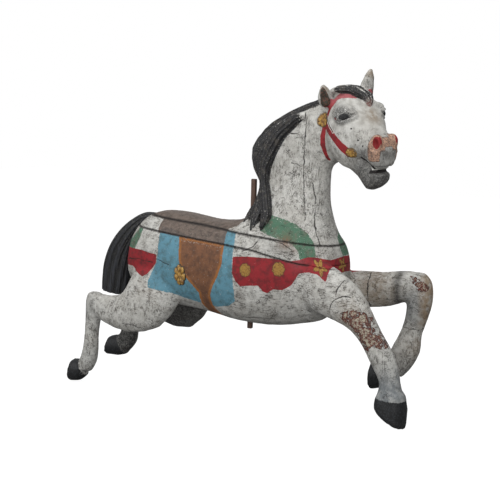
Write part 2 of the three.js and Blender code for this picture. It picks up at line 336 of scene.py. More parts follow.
class Block:
    """A closed mesh held as arrays: points in mm, faces of four, and its edges."""

    def __init__(self, node, voxel):
        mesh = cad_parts[node].data.copy()
        joined = bmesh.new()
        joined.from_mesh(mesh)
        bmesh.ops.remove_doubles(joined, verts=joined.verts, dist=1e-5)
        joined.to_mesh(mesh)
        joined.free()
        holder = bpy.data.objects.new("blank", mesh)
        scene.collection.objects.link(holder)
        grid = holder.modifiers.new("grid", "REMESH")
        grid.mode = "VOXEL"
        grid.voxel_size = voxel
        even = bpy.data.meshes.new_from_object(holder.evaluated_get(bpy.context.evaluated_depsgraph_get()))
        bpy.data.objects.remove(holder)
        co = np.empty(len(even.vertices) * 3, np.float32)
        even.vertices.foreach_get("co", co)
        self.points = co.reshape(-1, 3).astype(float) * 1000
        loops = np.empty(len(even.loops), np.int32)
        even.loops.foreach_get("vertex_index", loops)
        self.faces = loops.reshape(-1, 4)
        pairs = np.empty(len(even.edges) * 2, np.int32)
        even.edges.foreach_get("vertices", pairs)
        self.edges = pairs.reshape(-1, 2)
        bpy.data.meshes.remove(even)
        self.degree = np.maximum(np.bincount(self.edges.ravel(), minlength=len(self.points)), 1)

    def around(self, values):
        """Mean of each point's neighbours."""
        a, b = self.edges.T
        n = len(self.points)
        columns = values.reshape(n, -1)
        total = [np.bincount(a, c[b], n) + np.bincount(b, c[a], n) for c in columns.T]
        return (np.array(total).T / self.degree[:, None]).reshape(values.shape)

    def normals(self):
        q = self.points[self.faces]
        cross = np.cross(q[:, 2] - q[:, 0], q[:, 3] - q[:, 1])
        n = len(self.points)
        total = np.stack([
            sum(np.bincount(self.faces[:, k], cross[:, axis], n) for k in range(4)) for axis in range(3)
        ], 1)
        return total / np.maximum(np.linalg.norm(total, axis=1, keepdims=True), 1e-9)

    def smooth(self, softness, rounds):
        """Wears the facets off, then swells the skin back to where the CAD form has it."""
        before = self.points.copy()
        pull = softness[:, None] * 0.5
        for _ in range(rounds):
            self.points += pull * (self.around(self.points) - self.points)
        normal = self.normals()
        sunk = ((before - self.points) * normal).sum(1)
        for _ in range(rounds):
            sunk += pull[:, 0] * (self.around(sunk) - sunk)
        self.points += normal * sunk[:, None]


def near_path(points, path, across):
    """Reach as a share of the radius, turn round, and run along a path of (x, y, z, depth, width)."""
    path = np.array(path, float)
    fine = np.concatenate([
        path[i] + (path[i + 1] - path[i]) * np.linspace(0, 1, 12, endpoint=False)[:, None]
        for i in range(len(path) - 1)
    ] + [path[-1:]])
    for _ in range(6):
        fine[1:-1] = (fine[:-2] + 2 * fine[1:-1] + fine[2:]) / 4
    run = np.gradient(fine[:, :3], axis=0)
    run /= np.linalg.norm(run, axis=1, keepdims=True)
    side = across - run * (run @ across)[:, None]
    side /= np.linalg.norm(side, axis=1, keepdims=True)
    up = np.cross(side, run)
    length = np.concatenate([[0], np.cumsum(np.linalg.norm(np.diff(fine[:, :3], axis=0), axis=1))])
    best = np.full(len(points), 1e9)
    index = np.zeros(len(points), int)
    for i, station in enumerate(fine):
        gap = ((points - station[:3]) ** 2).sum(1)
        closer = gap < best
        best[closer] = gap[closer]
        index[closer] = i
    off = points - fine[index, :3]
    a = (off * up[index]).sum(1) / fine[index, 3]
    b = (off * side[index]).sum(1) / fine[index, 4]
    c = (off * run[index]).sum(1) / fine[index, 3]
    return np.sqrt(a * a + b * b + c * c), np.arctan2(a, b), length[index], fine[index, 3]


def hair_of(points):
    """How deep each point is in the hair (mm, positive inside), and the height of the carved strands."""
    depth = np.full(len(points), -99.0)
    strand = np.zeros(len(points))
    locks = [(path, np.array([0.0, 1, 0]), 7 + i, i) for i, path in enumerate(MANE_LOCKS)]
    fore = [(*from_head([s[:3]])[0], s[3], s[4]) for s in FORELOCK]
    sideways = from_head([(0, 1, 0)])[0] - from_head([(0, 0, 0)])[0]
    locks.append((fore, sideways, 9, 3))
    for path, sideways, count, order in locks:
        pts = np.array(path)
        low, high = pts[:, :3].min(0) - 45, pts[:, :3].max(0) + 45
        close = np.all((points > low) & (points < high), 1)
        reach, turn, run, radius = near_path(points[close], path, sideways)
        start = 1.0
        if order in (1, 2):
            start = np.clip(0.25 + run / 90, 0, 1)
        elif order == 3:
            start = np.clip(0.5 + run / 110, 0, 1)
        inner = (1.16 * start - reach) * radius
        wave = np.cos(turn * count + order * 1.7 + 0.9 * np.sin(run / 47 + order) + 0.5 * np.sin(run / 19))
        wave2 = np.cos(turn * (count * 2 + 1) + 1.3 * np.sin(run / 33 + 2))
        height = (1.7 * wave + 0.8 * wave2 - 0.5) * (np.clip(run / 70, 0, 1) if order in (1, 2) else 1)
        closer = inner > depth[close]
        rows = np.where(close)[0][closer]
        depth[rows] = inner[closer]
        strand[rows] = height[closer]
    return depth, strand


def bump_at(distance, reach):
    """Rounded hump: 1 at distance 0, falling to 0 at reach."""
    t = np.clip(1 - (distance / reach) ** 2, 0, 1)
    return t * t


def upper_lip(p):
    """Height of the edge of the upper lip over the head's length."""
    return np.interp(p, (176, 190, 205, 222, 240), (592, 582, 573, 567, 566))


def carve(block):
    """Cuts the relief into the smoothed skin: strands, eyes, lips, nostrils, cheek bones and tool marks; hooves
    are only smoothed less.
    """
    points = block.points
    hair, strand = hair_of(points)
    head = in_head(points)
    p, s, z = head.T
    on_head = (points[:, 2] > 480) & (p > -40)
    soft = np.ones(len(points))
    soft[hair > -6] = 0.22
    soft[(points[:, 0] > 205) & (points[:, 2] > 690) & (points[:, 1] < -14) & (points[:, 0] < 262)] = 1.0
    ear = (z > 762) & (np.abs(s) > 40) & on_head
    soft[ear] = 0.12
    soft[on_head & (p > 150) & (z < 680)] = 0.3
    soft[on_head & (np.hypot(p - EYE[0], z - EYE[2]) < 45)] = 0.4
    x, y, height = points.T
    sole = (x > 450) & (y < 0) & (height < -135) | (x > 350) & (x < 425) & (y > 0) & (height < 0)
    sole |= (x < -632) & (height < -100)
    soft[sole] = np.where(height[sole] < -150, 0.75, 0.35)
    soft[(np.abs(points[:, 0]) < 22) & (np.abs(points[:, 1]) < 20)] = 0.05
    size = np.median(np.linalg.norm(points[block.edges[:, 0]] - points[block.edges[:, 1]], axis=1))
    block.smooth(soft, int(2 * (15 / size) ** 2))
    points = block.points
    hair, strand = hair_of(points)
    normal = block.normals()
    lift = 0.5 * ripple(points, 60, 5) + 0.22 * ripple(points, 17, 6)
    lift += np.clip((hair + 4) / 6, 0, 1) * strand
    head = in_head(points)
    p, s, z = head.T
    # eyes: lids and hollow round the ball, on both sides of the head
    side_on = on_head & (np.abs(s) > 45)
    a, b = (p - EYE[0]) * 0.97 + (z - EYE[2]) * 0.2, (z - EYE[2]) * 0.97 - (p - EYE[0]) * 0.2
    almond = np.hypot(a / 24, b / (13 - 3 * np.clip(np.abs(a) / 24, 0, 1)))
    lids = 2.6 * bump_at(almond - 1.25, 0.38) - 2.4 * bump_at(almond - 0.93, 0.2)
    lids -= 2.2 * bump_at(almond - 1.95, 0.6)
    lift += np.where(side_on, lids, 0)
    # nostrils: rolled rims
    rim = np.hypot((p - NOSTRIL[0]) / 17, (z - NOSTRIL[2]) / 23)
    lift += np.where(on_head & (np.abs(s) > 18) & (p > 180), 2.2 * bump_at(rim - 1.25, 0.45), 0)
    # lips: the upper lip overhangs the teeth, and the line of the mouth climbs to its corner
    below = upper_lip(p) - z
    mouth_side = on_head & (p > 172) & (np.abs(s) < 56)
    teeth_step = -3.8 * np.clip(below / 2.5, 0, 1) * np.clip((z - 546) / 4, 0, 1)
    teeth_step *= np.clip((p - 196) / 10, 0, 1)
    lip_roll = 2.0 * bump_at(below + 4, 7) + 1.6 * bump_at(z - 541, 8) * (p > 196)
    lift += np.where(mouth_side, teeth_step + lip_roll - 3.0 * bump_at(below, 4.5) * (p < 204), 0)
    # cheek bone and jaw line
    cheek = np.hypot((p - 62) / 70, (z - 640) / 62)
    bone = 2.5 * bump_at(cheek - 0.2, 0.75) - 1.6 * bump_at(cheek - 1.05, 0.18)
    lift += np.where(side_on & (p > -20), bone, 0)
    block.points = points + normal * lift[:, None]
    # nothing of the carving reaches into the post
    q = block.points
    inside = (np.abs(q[:, 0]) < 8.6) & (np.abs(q[:, 1]) < 7.6)
    to_x, to_y = 8.6 - np.abs(q[:, 0]), 7.6 - np.abs(q[:, 1])
    move_x = inside & (to_x < to_y)
    move_y = inside & ~move_x
    q[move_x, 0] = np.where(q[move_x, 0] < 0, -8.6, 8.6)
    q[move_y, 1] = np.where(q[move_y, 1] < 0, -7.6, 7.6)


def upper_glue_line(x, y):
    return 353 - 0.0674 * (x + 321) + 0.8 * np.sin(x / 70)


def lower_glue_line(x, y):
    bend = np.clip(x - 80, 0, 170)
    return 317 - 0.0705 * (x + 394) - 0.1 * bend + 0.9 * np.sin(x / 55 + 1)


def cut_block(block, below=None, above=None, gap=1.0):
    """bmesh of the block between two glue lines; each cut is flat-capped and half a gap short of the line."""
    piece = bmesh.new()
    mesh = bpy.data.meshes.new("cutting")
    mesh.from_pydata(block.points.tolist(), [], block.faces.tolist())
    piece.from_mesh(mesh)
    bpy.data.meshes.remove(mesh)
    for line, keep_above in ((below, True), (above, False)):
        if line is None:
            continue
        for v in piece.verts:
            v.co.z -= float(line(v.co.x, v.co.y))
        level = gap if keep_above else -gap
        geom = piece.verts[:] + piece.edges[:] + piece.faces[:]
        bmesh.ops.bisect_plane(
            piece, geom=geom, plane_co=(0, 0, level), plane_no=(0, 0, 1),
            clear_inner=keep_above, clear_outer=not keep_above,
        )
        rim = [e for e in piece.edges if e.is_boundary]
        bmesh.ops.triangle_fill(piece, edges=rim, use_beauty=True, use_dissolve=False)
        for v in piece.verts:
            v.co.z += float(line(v.co.x, v.co.y))
    bmesh.ops.recalc_face_normals(piece, faces=piece.faces)
    return piece


head_block = Block("horse", 0.0029)
carve(head_block)
trunk_block = Block("horse", 0.0042)
carve(trunk_block)

skins = {}
carved_pieces = [
    ("top_block_head_neck", cut_block(head_block, below=upper_glue_line)),
    ("middle_plank", cut_block(trunk_block, below=lower_glue_line, above=upper_glue_line)),
    ("lower_trunk_legs", cut_block(trunk_block, above=lower_glue_line)),
]

# ---- Carved horse: where each paint lies ----
# Trappings painted straight on the wood: saddle cloth, flap, breast strap, crupper and bridle,
# the same on both sides. Each outline is in mm, along the flank and up.

SADDLE_CLOTH_REAR = [
    (-289, 328), (-284, 295), (-280, 247), (-283, 213), (-303, 177), (-312, 144), (-308, 124),
    (-271, 118), (-229, 111), (-186, 98), (-120, 88), (-100, 150), (-150, 300), (-226, 320),
]
SADDLE_CLOTH_FRONT = [
    (-43, 334), (4, 333), (13, 295), (13, 259), (16, 207), (21, 159), (22, 115), (-5, 96), (-55, 84),
    (-85, 88), (-85, 130), (-60, 170), (-60, 290),
]
SADDLE_FLAP = [
    (-207, 303), (-198, 276), (-191, 223), (-170, 180), (-138, 150), (-116, 126), (-118, 92),
    (-108, 60), (-104, 10), (-58, 10), (-60, 62), (-72, 90), (-71, 124), (-60, 150), (-38, 191),
    (-24, 232), (-26, 293),
]
SEAT = [
    (-430, 352), (-330, 354), (-299, 349), (-297, 308), (-207, 302), (-26, 290), (-36, 338), (-8, 348),
    (6, 368), (-10, 430), (-440, 430),
]
CRUPPER = [
    (-520, 246), (-440, 243), (-365, 244), (-320, 239), (-286, 236), (-286, 207), (-308, 182),
    (-321, 167), (-338, 157), (-373, 169), (-406, 183), (-450, 180), (-520, 172),
]
RUMP_BAND = [
    (-367, 312), (-370, 286), (-383, 262), (-393, 240), (-470, 240), (-450, 262), (-415, 285),
    (-388, 315),
]
BREAST_STRAP = [
    (15, 259), (57, 263), (110, 265), (156, 266), (189, 264), (216, 263), (250, 268), (288, 278),
    (321, 277), (348, 273), (376, 268), (408, 272), (443, 275), (460, 276), (460, 227), (443, 226),
    (410, 222), (378, 224), (360, 206), (338, 217), (311, 232), (286, 233), (251, 226), (222, 187),
    (192, 170), (161, 170), (140, 155), (125, 160), (111, 176), (75, 172), (45, 167), (28, 182),
    (16, 208),
]
COLLAR = [
    (88, 402), (128, 392), (165, 385), (233, 370), (287, 349), (311, 320), (317, 276), (254, 267),
    (247, 291), (231, 305), (212, 317), (166, 325), (122, 335), (92, 345),
]
FAR_COLLAR = [(-8, 276), (-12, 300), (-2, 324), (25, 345), (60, 365), (110, 392), (150, 380), (150, 276)]
WORN_FORELEG = [
    (395, 112), (412, 134), (440, 141), (462, 141), (482, 130), (496, 104), (506, 86), (530, 64),
    (545, 36), (522, 32), (500, 48), (492, 16), (477, 30), (462, 62), (448, 84), (426, 96),
]
WORN_KNEE = [(521, 216), (548, 214), (574, 197), (578, 178), (562, 172), (548, 186), (530, 197)]
HEADSTALL = [(120, 776), (100, 778), (76, 777), (58, 769), (50, 753), (38, 737), (31, 720), (22, 703)]
CHEEK_STRAP = [(8, 700), (32, 681), (71, 663), (102, 643), (127, 621), (141, 606)]
THROAT_STRAP = [(14, 690), (13, 672), (9, 653), (7, 627), (8, 600), (9, 577)]
COVE = [(174, 593), (184, 588), (194, 579), (205, 568), (212, 557)]
# Soot and painted shade on the head, mirrored to both sides: round the eyes, over the muzzle and lips, under
# the chin and by the ears. Each spot is (forward, left, up, radius, amount) in mm.
HEAD_SOOT_AND_SHADE = [
    (100, 78, 724, 34, 0.55), (122, 82, 712, 24, 0.6), (180, 46, 598, 40, 0.85),
    (198, 20, 512, 56, 1.0), (206, 34, 590, 34, 0.6), (168, 40, 560, 46, 0.95), (226, 14, 604, 34, 0.7),
    (215, 16, 655, 24, 0.3), (30, 70, 770, 22, 0.5), (66, 60, 806, 16, 0.5),
]
SPLITS = [
    [
        (209, -59, 712), (212, -58, 666), (209, -58, 596), (208, -55, 524), (215, -61, 462),
        (229, -74, 392),
    ],
    [
        (236, -48, 506), (248, -47, 455), (256, -62, 395), (262, -70, 360), (288, -82, 316),
    ],
    [
        (153, -56, 654), (163, -56, 648), (176, -56, 651),
    ],
    [
        (172, -58, 558), (184, -58, 557), (196, -57, 552),
    ],
    [
        (166, -58, 527), (177, -60, 522), (190, -58, 524),
    ],
    [
        (180, -60, 706), (192, -62, 700), (196, -62, 690),
    ],
    [
        (362, -158, 116), (364, -158, 131), (372, -162, 154), (385, -162, 168), (404, -160, 178),
        (426, -155, 177),
    ],
    [
        (399, -135, 222), (388, -150, 207), (383, -156, 196), (384, -158, 186),
    ],
    [
        (-428, -100, 204), (-392, -117, 209), (-362, -129, 211), (-306, -140, 207),
    ],
    [
        (33, -97, 58), (88, -99, 61), (137, -97, 66),
    ],
    [
        (-408, -156, -13), (-368, -152, -14), (-352, -145, -22),
    ],
    [
        (384, 104, 216), (386, 98, 170), (391, 91, 108),
    ],
    [
        (508, 93, 54), (538, 91, 51), (563, 112, 53),
    ],
    [
        (150, -127, 318), (186, -128, 310), (213, -128, 297), (222, -131, 279), (214, -136, 270),
    ],
    [
        (92, -136, 310), (84, -138, 296), (66, -142, 288), (50, -143, 280),
    ],
    [
        (-283, -143, 222), (-262, -144, 216), (-236, -146, 210),
    ],
    [
        (488, -150, 118), (494, -147, 103), (503, -148, 86),
    ],
]


def inside(flat, outline):
    """Distance from each flat point to a closed outline, positive inside it."""
    best = np.full(len(flat), 1e9)
    within = np.zeros(len(flat), bool)
    px, py = flat.T
    for (x0, y0), (x1, y1) in zip(outline, outline[1:] + outline[:1]):
        dx, dy = x1 - x0, y1 - y0
        t = np.clip(((px - x0) * dx + (py - y0) * dy) / (dx * dx + dy * dy), 0, 1)
        best = np.minimum(best, np.hypot(px - x0 - t * dx, py - y0 - t * dy))
        if dy:
            within ^= ((y0 > py) != (y1 > py)) & (px < dx * (py - y0) / dy + x0)
    return np.where(within, best, -best)


def off_line(points, path):
    """Distance from each point to an open path, and how far along it (0 to 1) the nearest place is."""
    best = np.full(len(points), 1e9)
    where = np.zeros(len(points))
    path = np.array(path, float)
    for i in range(len(path) - 1):
        step = path[i + 1] - path[i]
        t = np.clip(((points - path[i]) @ step) / (step @ step), 0, 1)
        gap = np.linalg.norm(points - path[i] - t[:, None] * step, axis=1)
        closer = gap < best
        best[closer] = gap[closer]
        where[closer] = (i + t[closer]) / (len(path) - 1)
    return best, where


def beside_line(points, path, normals):
    """Signed distance across a path lying on the skin, so that a thin split stays thin."""
    best = np.full(len(points), 1e9)
    signed = np.full(len(points), 1e9)
    path = np.array(path, float)
    for i in range(len(path) - 1):
        step = path[i + 1] - path[i]
        t = np.clip(((points - path[i]) @ step) / (step @ step), 0, 1)
        off = points - path[i] - t[:, None] * step
        gap = np.linalg.norm(off, axis=1)
        sideways = np.cross(normals, step / np.linalg.norm(step))
        closer = gap < best
        best[closer] = gap[closer]
        signed[closer] = (off * sideways).sum(1)[closer]
    return signed, best


def blobs(points, spots):
    """Soft patches: each spot is (x, y, z, radius, amount)."""
    total = np.zeros(len(points))
    for x, y, z, radius, amount in spots:
        gap = ((points - np.array([x, y, z])) ** 2).sum(1)
        total = np.maximum(total, amount * np.exp(-gap / (0.72 * radius ** 2)))
    return total


def paint_places(points, normals):
    """Every paint's own distance in mm, positive where it lies, and the soft patches from 0 to 1."""
    x, y, z = points.T
    round_front = x + 0.8 * np.clip((x - 180) / 60, 0, 1) * np.clip(142 - np.abs(y), 0, None)
    flank = np.stack([round_front, z], 1)
    side_view = points[:, [0, 2]]
    on_trunk = 345 - x
    head = in_head(points)
    p, s, h = head.T
    face = (z > 480) & (p > -32)
    profile = np.stack([p, h], 1)
    out = {}
    out["cloth"] = np.maximum(inside(flank, SADDLE_CLOTH_REAR), inside(flank, SADDLE_CLOTH_FRONT))
    out["flap"] = inside(flank, SADDLE_FLAP)
    out["seat"] = inside(flank, SEAT)
    far_collar = np.where((x > 150) & (y > -40), inside(points[:, 1:], FAR_COLLAR), -99)
    collar = np.maximum(inside(flank, COLLAR), far_collar)
    out["band"] = np.minimum(np.maximum(collar, inside(flank, RUMP_BAND)), on_trunk)
    red = np.minimum(np.maximum(inside(flank, CRUPPER), inside(flank, BREAST_STRAP)), on_trunk)
    headstall, along = off_line(profile, HEADSTALL)
    cheek, _ = off_line(profile, CHEEK_STRAP)
    throat, down = off_line(profile, THROAT_STRAP)
    bridle = np.maximum(12.0 - 4 * along - headstall, np.maximum(11.5 - cheek, 9.0 - 6 * down ** 2 - throat))
    bridle = np.where(np.abs(s) > 18, bridle, -20)
    out["red"] = np.where(face, bridle, red)
    out["faded"] = np.maximum(np.clip((h - 735) / 30, 0, 1) * face, blobs(points, [(236, -131, 262, 30, 0.4)]))
    gold = np.full(len(points), -99.0)
    for u, v, r in ((63, 221, 19), (178, 235, 20)):
        turn = np.arctan2(z - v, round_front - u)
        gold = np.maximum(gold, r * (1 + 0.05 * np.cos(9 * turn)) - np.hypot(round_front - u, (z - v) * 0.94))
    middle_front = x > 290
    for across, v in ((round_front - 324, 251), (np.where(middle_front, y + 17, 99), 250)):
        turn, reach = np.arctan2(z - v, across), np.hypot(across, z - v)
        gold = np.maximum(gold, np.minimum(24 * (0.68 + 0.32 * np.cos(5 * turn + 1.2)) - reach, reach - 4.0))
    gold = np.minimum(gold, on_trunk)
    near_ear = 21 - np.hypot((p - 8), (h - 701))
    bit = 14 - np.hypot(p - 147, h - 608)
    out["gold"] = np.where(face, np.where(np.abs(s) > 25, np.maximum(near_ear, bit), -20), gold)
    hair, strand = hair_of(points)
    out["hair"] = hair
    out["strand"] = strand
    hoof = np.full(len(points), -99.0)
    hoof = np.maximum(hoof, np.where((y < 0) & (x > 450), -116 - z - 0.02 * (x - 560), -99))
    hoof = np.maximum(hoof, np.where((y > 0) & (x > 330) & (z < -30), (452 - x) * 0.98 - (z + 60) * 0.13, -99))
    hoof = np.maximum(hoof, np.where((y < 0) & (x < -500), -(x + 612) * 0.9 - (z + 195) * 0.35, -99))
    hoof = np.maximum(hoof, np.where((y > 0) & (x < -500), -(x + 618) * 0.85 - (z + 165) * 0.5, -99))
    out["hoof"] = hoof
    hollow = np.full(len(points), -20.0)
    for side, base_p, lean, tip, wide in ((-1, 26, -2, 807, 15), (1, 50, 4, 847, 8)):
        line = [(base_p + 12, side * 80, 756), (base_p + lean + 11, side * 93, tip - 6)]
        gap, up = off_line(head, line)
        hollow = np.maximum(hollow, wide * (1 - 0.45 * up) - gap)
    out["ear_hollow"] = hollow
    worn = np.where(y < -60, inside(side_view, WORN_FORELEG), -99)
    worn = np.maximum(worn, np.where(y > 40, inside(side_view, WORN_KNEE), -99))
    out["worn"] = worn
    hole = np.hypot((p - NOSTRIL[0] + 1) / 15, (h - NOSTRIL[2] + 1) / 20)
    muzzle_side = face & (np.abs(s) > 14) & (p > 180)
    out["nostril"] = np.where(muzzle_side, np.minimum((0.92 - hole) * 16, np.abs(s) - 27), -20)
    ring = np.where(muzzle_side, (1.5 - hole) * 16, -20)
    lip_band = np.minimum(np.minimum(9 - np.abs(np.abs(s) - 40), h - 584), 640 - h)
    lip_band = np.where(face & (p > 200), lip_band, -20)
    nose_band = np.where(face & (p > 210), np.minimum(np.minimum(h - 625, 652 - h), 30 - np.abs(s)), -20)
    out["rim"] = np.maximum(ring, np.maximum(lip_band, nose_band))
    ball = np.hypot((p - EYE[0] - 6) / 11.5, (h - EYE[2] - 1) / 9.5)
    seen_side = face & (np.abs(s) > 45)
    out["pupil"] = np.where(seen_side, (1 - ball) * 9, -20)
    corner = np.hypot((p - EYE[0] + 23) / 5, (h - EYE[2] + 5) / 4)
    out["corner"] = np.where(seen_side, (1 - corner) * 4, -20)
    mouth = np.minimum(4.6 - np.abs(h - 552), np.minimum(p - 196, 60 - np.abs(s)))
    crease, _ = off_line(profile, COVE)
    crease = np.where(np.abs(s) > 22, crease, 99)
    out["mouth"] = np.where(face, np.maximum(mouth, 4.2 - crease), -20)
    lip = upper_lip(p)
    out["teeth"] = np.where(face, np.minimum(np.minimum(lip - 1.5 - h, h - 556), p - 200), -20)
    socket = np.hypot((p - EYE[0] + 8) / 34, (h - EYE[2] - 4) / 26)
    out["lashes"] = np.where(seen_side, np.clip(2.6 - 2 * socket, 0, 1), 0)
    upper_edge, _ = off_line(profile, [(20, 716), (33, 700), (79, 670)])
    out["edging"] = np.where(face & (np.abs(s) > 40), 1.7 - upper_edge, -20)
    lower_edge, _ = off_line(profile, [(25, 712), (37, 697), (81, 668)])
    lower_edge = 1.2 - np.abs(lower_edge - 3.5)
    out["teeth"] = np.maximum(out["teeth"], np.where(face & (np.abs(s) > 40), lower_edge, -20))
    tip = tuple(from_head([(140, 4, 744)])[0])
    out["bald"] = blobs(points, [tip + (15, 1.0)])
    out["clean"] = np.maximum(
        np.where(face, np.clip((h - 655) / 30, 0, 1) * np.clip((p - 70) / 30, 0, 1), 0), np.where(face, 0.3, 0))
    out["blued"] = blobs(points, [
        (556, -124, -98, 86, 1.0), (560, -124, -40, 40, 0.6), (535, 118, 120, 60, 0.9),
        (-590, -118, 10, 60, 0.35), (-580, -118, -150, 50, 0.3),
    ])
    out["rust"] = blobs(points, [(190, -126, 326, 24, 0.85), (225, -130, 300, 14, 0.4)])
    down = lower_glue_line(x, y) - z
    scallop = 2.0 - np.abs(down - 8 - 5 * np.abs(np.sin(x * math.pi / 34)))
    out["scallops"] = np.where((np.abs(x + 116) < 82), scallop, -20)
    # soot and painted shade on the head, from the table above
    soot_and_shade_spots = [tuple(from_head([(a, side * b, c)])[0]) + (r, k)
                  for side in (-1, 1) for a, b, c, r, k in HEAD_SOOT_AND_SHADE]
    # soot low on the legs and belly, and painted shade on the far legs
    soot_and_shade_spots += [
        (556, -124, -112, 26, 0.5), (540, -124, -20, 34, 0.15), (180, -130, 300, 60, 0.35),
        (-60, -90, 60, 40, 0.3), (480, 118, -70, 70, 0.75), (520, 118, 150, 46, 0.4),
        (-604, -118, -196, 34, 0.35), (-560, -118, 34, 34, 0.35), (-570, -118, -60, 30, 0.2),
        (-588, 110, -120, 60, 0.5), (-650, 118, -170, 60, 0.6),
    ]
    out["soot_and_shade"] = blobs(points, soot_and_shade_spots)
    far_fore = (y > 60) & (x > 300)
    # painted shade in a band down the far forearm
    knee_band = 0.8 * np.exp(-((x - 482) / 15) ** 2) * np.clip((z - 95) / 10, 0, 1) * (x < 530)
    out["soot_and_shade"] = np.maximum(out["soot_and_shade"], np.where(far_fore, knee_band, 0))
    # painted shadow of the body on the inner side of the far hind leg, darkest on faces turned away and easing
    # off forward
    far_hind = np.clip((y - 20) / 30, 0, 1) * np.clip((-190 - x) / 60, 0, 1) * np.clip((118 - z) / 30, 0, 1)
    inner_side = np.clip(0.75 - normals[:, 1], 0.15, 1)
    shade_eases_forward = np.clip(1.05 - 0.3 * (x + 420) / 200, 0.75, 1)
    out["soot_and_shade"] = np.maximum(out["soot_and_shade"], far_hind * inner_side * shade_eases_forward)
    # painted shade under the jaw
    jaw = np.where(face, np.clip((590 - h) / 30, 0, 1) * np.clip((p - 130) / 30, 0, 1), 0)
    out["soot_and_shade"] = np.maximum(out["soot_and_shade"], 0.9 * jaw)
    out["aged"] = blobs(points, [
        (400, 118, 160, 80, 1.0), (450, 118, 170, 60, 0.8), (575, 118, 120, 40, 0.9),
        (545, 118, 0, 60, 0.4), (430, -140, 110, 60, 0.55), (470, -124, 40, 40, 0.45),
        (380, -130, 60, 50, 0.3), tuple(from_head([(158, 4, 712)])[0]) + (34, 0.8),
        tuple(from_head([(62, 84, 836)])[0]) + (22, 0.9),
        tuple(from_head([(34, -80, 800)])[0]) + (18, 0.9), (190, -124, 322, 26, 0.8),
        (-320, -150, 120, 60, 0.15),
    ])
    outer_edge = np.clip((x - 545) / 24, 0, 1) * np.clip((z - 40) / 30, 0, 1)
    out["aged"] = np.maximum(out["aged"], np.where(far_fore, outer_edge, 0))
    spots = np.minimum(np.linalg.norm(points - np.array([-231, -131, 70]), axis=1) - 3.4,
                       np.linalg.norm(points - np.array([17, -140, 288]), axis=1) - 4.5)
    for spot in from_head([(147, -68, 679), (183, -52, 628), (168, -58, 645), (160, -60, 632)]):
        spots = np.minimum(spots, np.linalg.norm(points - spot, axis=1) - 2.6)
    out["hole"] = -spots
    side_best = np.full(len(points), 99.0)
    reach_best = np.full(len(points), 99.0)
    for path in SPLITS:
        signed, reach = beside_line(points, path, normals)
        closer = reach < reach_best
        side_best[closer] = signed[closer]
        reach_best[closer] = reach[closer]
    joint = np.where((x < 430) & (z > 80), x - 386 - 0.04 * (160 - z), 99)
    joint = np.where(far_fore & (np.abs(joint) < 6), joint, 99)
    side_best = np.where(np.abs(joint) < 6, joint, side_best)
    reach_best = np.where(np.abs(joint) < 6, 0, reach_best)
    out["split_side"] = side_best
    out["split_reach"] = np.minimum(reach_best, 99)
    closed_up = 30 * np.clip((x - 270) / 20, 0, 1)
    glue = np.minimum(np.abs(z - upper_glue_line(x, y)), np.abs(z - lower_glue_line(x, y)) + closed_up)
    out["glue_line"] = np.where(z > 230, np.minimum(glue, 50), 50)
    return out


# ---- Carved horse: the finish ----
# Old oil paint over white ground, crazed and dirty, with grey-black hair and hooves; painted shade on the head,
# far legs and hair grooves.
# Each paint is laid over the one before, and edges are ragged where they have flaked.


def group(name, inputs, outputs):
    made = bpy.data.node_groups.new(name, "ShaderNodeTree")
    for label, kind, value in inputs:
        made.interface.new_socket(label, in_out="INPUT", socket_type=kind).default_value = value
    for label, kind in outputs:
        made.interface.new_socket(label, in_out="OUTPUT", socket_type=kind)
    return made, wire(made, "NodeGroupInput").outputs, wire(made, "NodeGroupOutput")


def use(tree, made, **inputs):
    node = wire(tree, "Group", node_tree=made)
    for name, value in inputs.items():
        socket = node.inputs[name]
        if isinstance(value, bpy.types.NodeSocket):
            tree.links.new(value, socket)
        else:
            socket.default_value = value
    return node.outputs


crazing, given, result = group(
    "crazing",
    [("Place", "NodeSocketVector", (0, 0, 0)), ("Cells", "NodeSocketFloat", 60.0),
     ("Width", "NodeSocketFloat", 0.06), ("Broken", "NodeSocketFloat", 0.5)],
    [("Lines", "NodeSocketFloat")],
)
wander = wire(crazing, "TexNoise", {"Vector": given["Place"], "Scale": 130.0, "Detail": 2.0, "Roughness": 0.6})
shift = wire(crazing, "VectorMath", {0: wander.outputs["Color"], 1: (0.5, 0.5, 0.5)},
    operation="SUBTRACT").outputs[0]
shift = wire(crazing, "VectorMath", {0: shift, "Scale": 0.011}, operation="SCALE").outputs[0]
moved = wire(crazing, "VectorMath", {0: given["Place"], 1: shift}).outputs[0]
cells = wire(crazing, "TexVoronoi", {"Vector": moved, "Scale": given["Cells"]}, feature="DISTANCE_TO_EDGE")
gaps = wire(crazing, "TexNoise", {"Vector": given["Place"], "Scale": 48.0, "Detail": 4.0, "Roughness": 0.65})
present = wire(crazing, "MapRange", {"Value": gaps.outputs["Fac"], "From Min": given["Broken"],
               "From Max": plus(crazing, given["Broken"], 0.14)}).outputs[0]
width = times(crazing, given["Width"], present)
line = wire(crazing, "MapRange", {"Value": cells.outputs["Distance"], "From Min": 0.0,
            "From Max": plus(crazing, width, 0.0001), "To Min": 1.0, "To Max": 0.0},
            interpolation_type="SMOOTHSTEP").outputs[0]
crazing.links.new(times(crazing, line, present), result.inputs["Lines"])

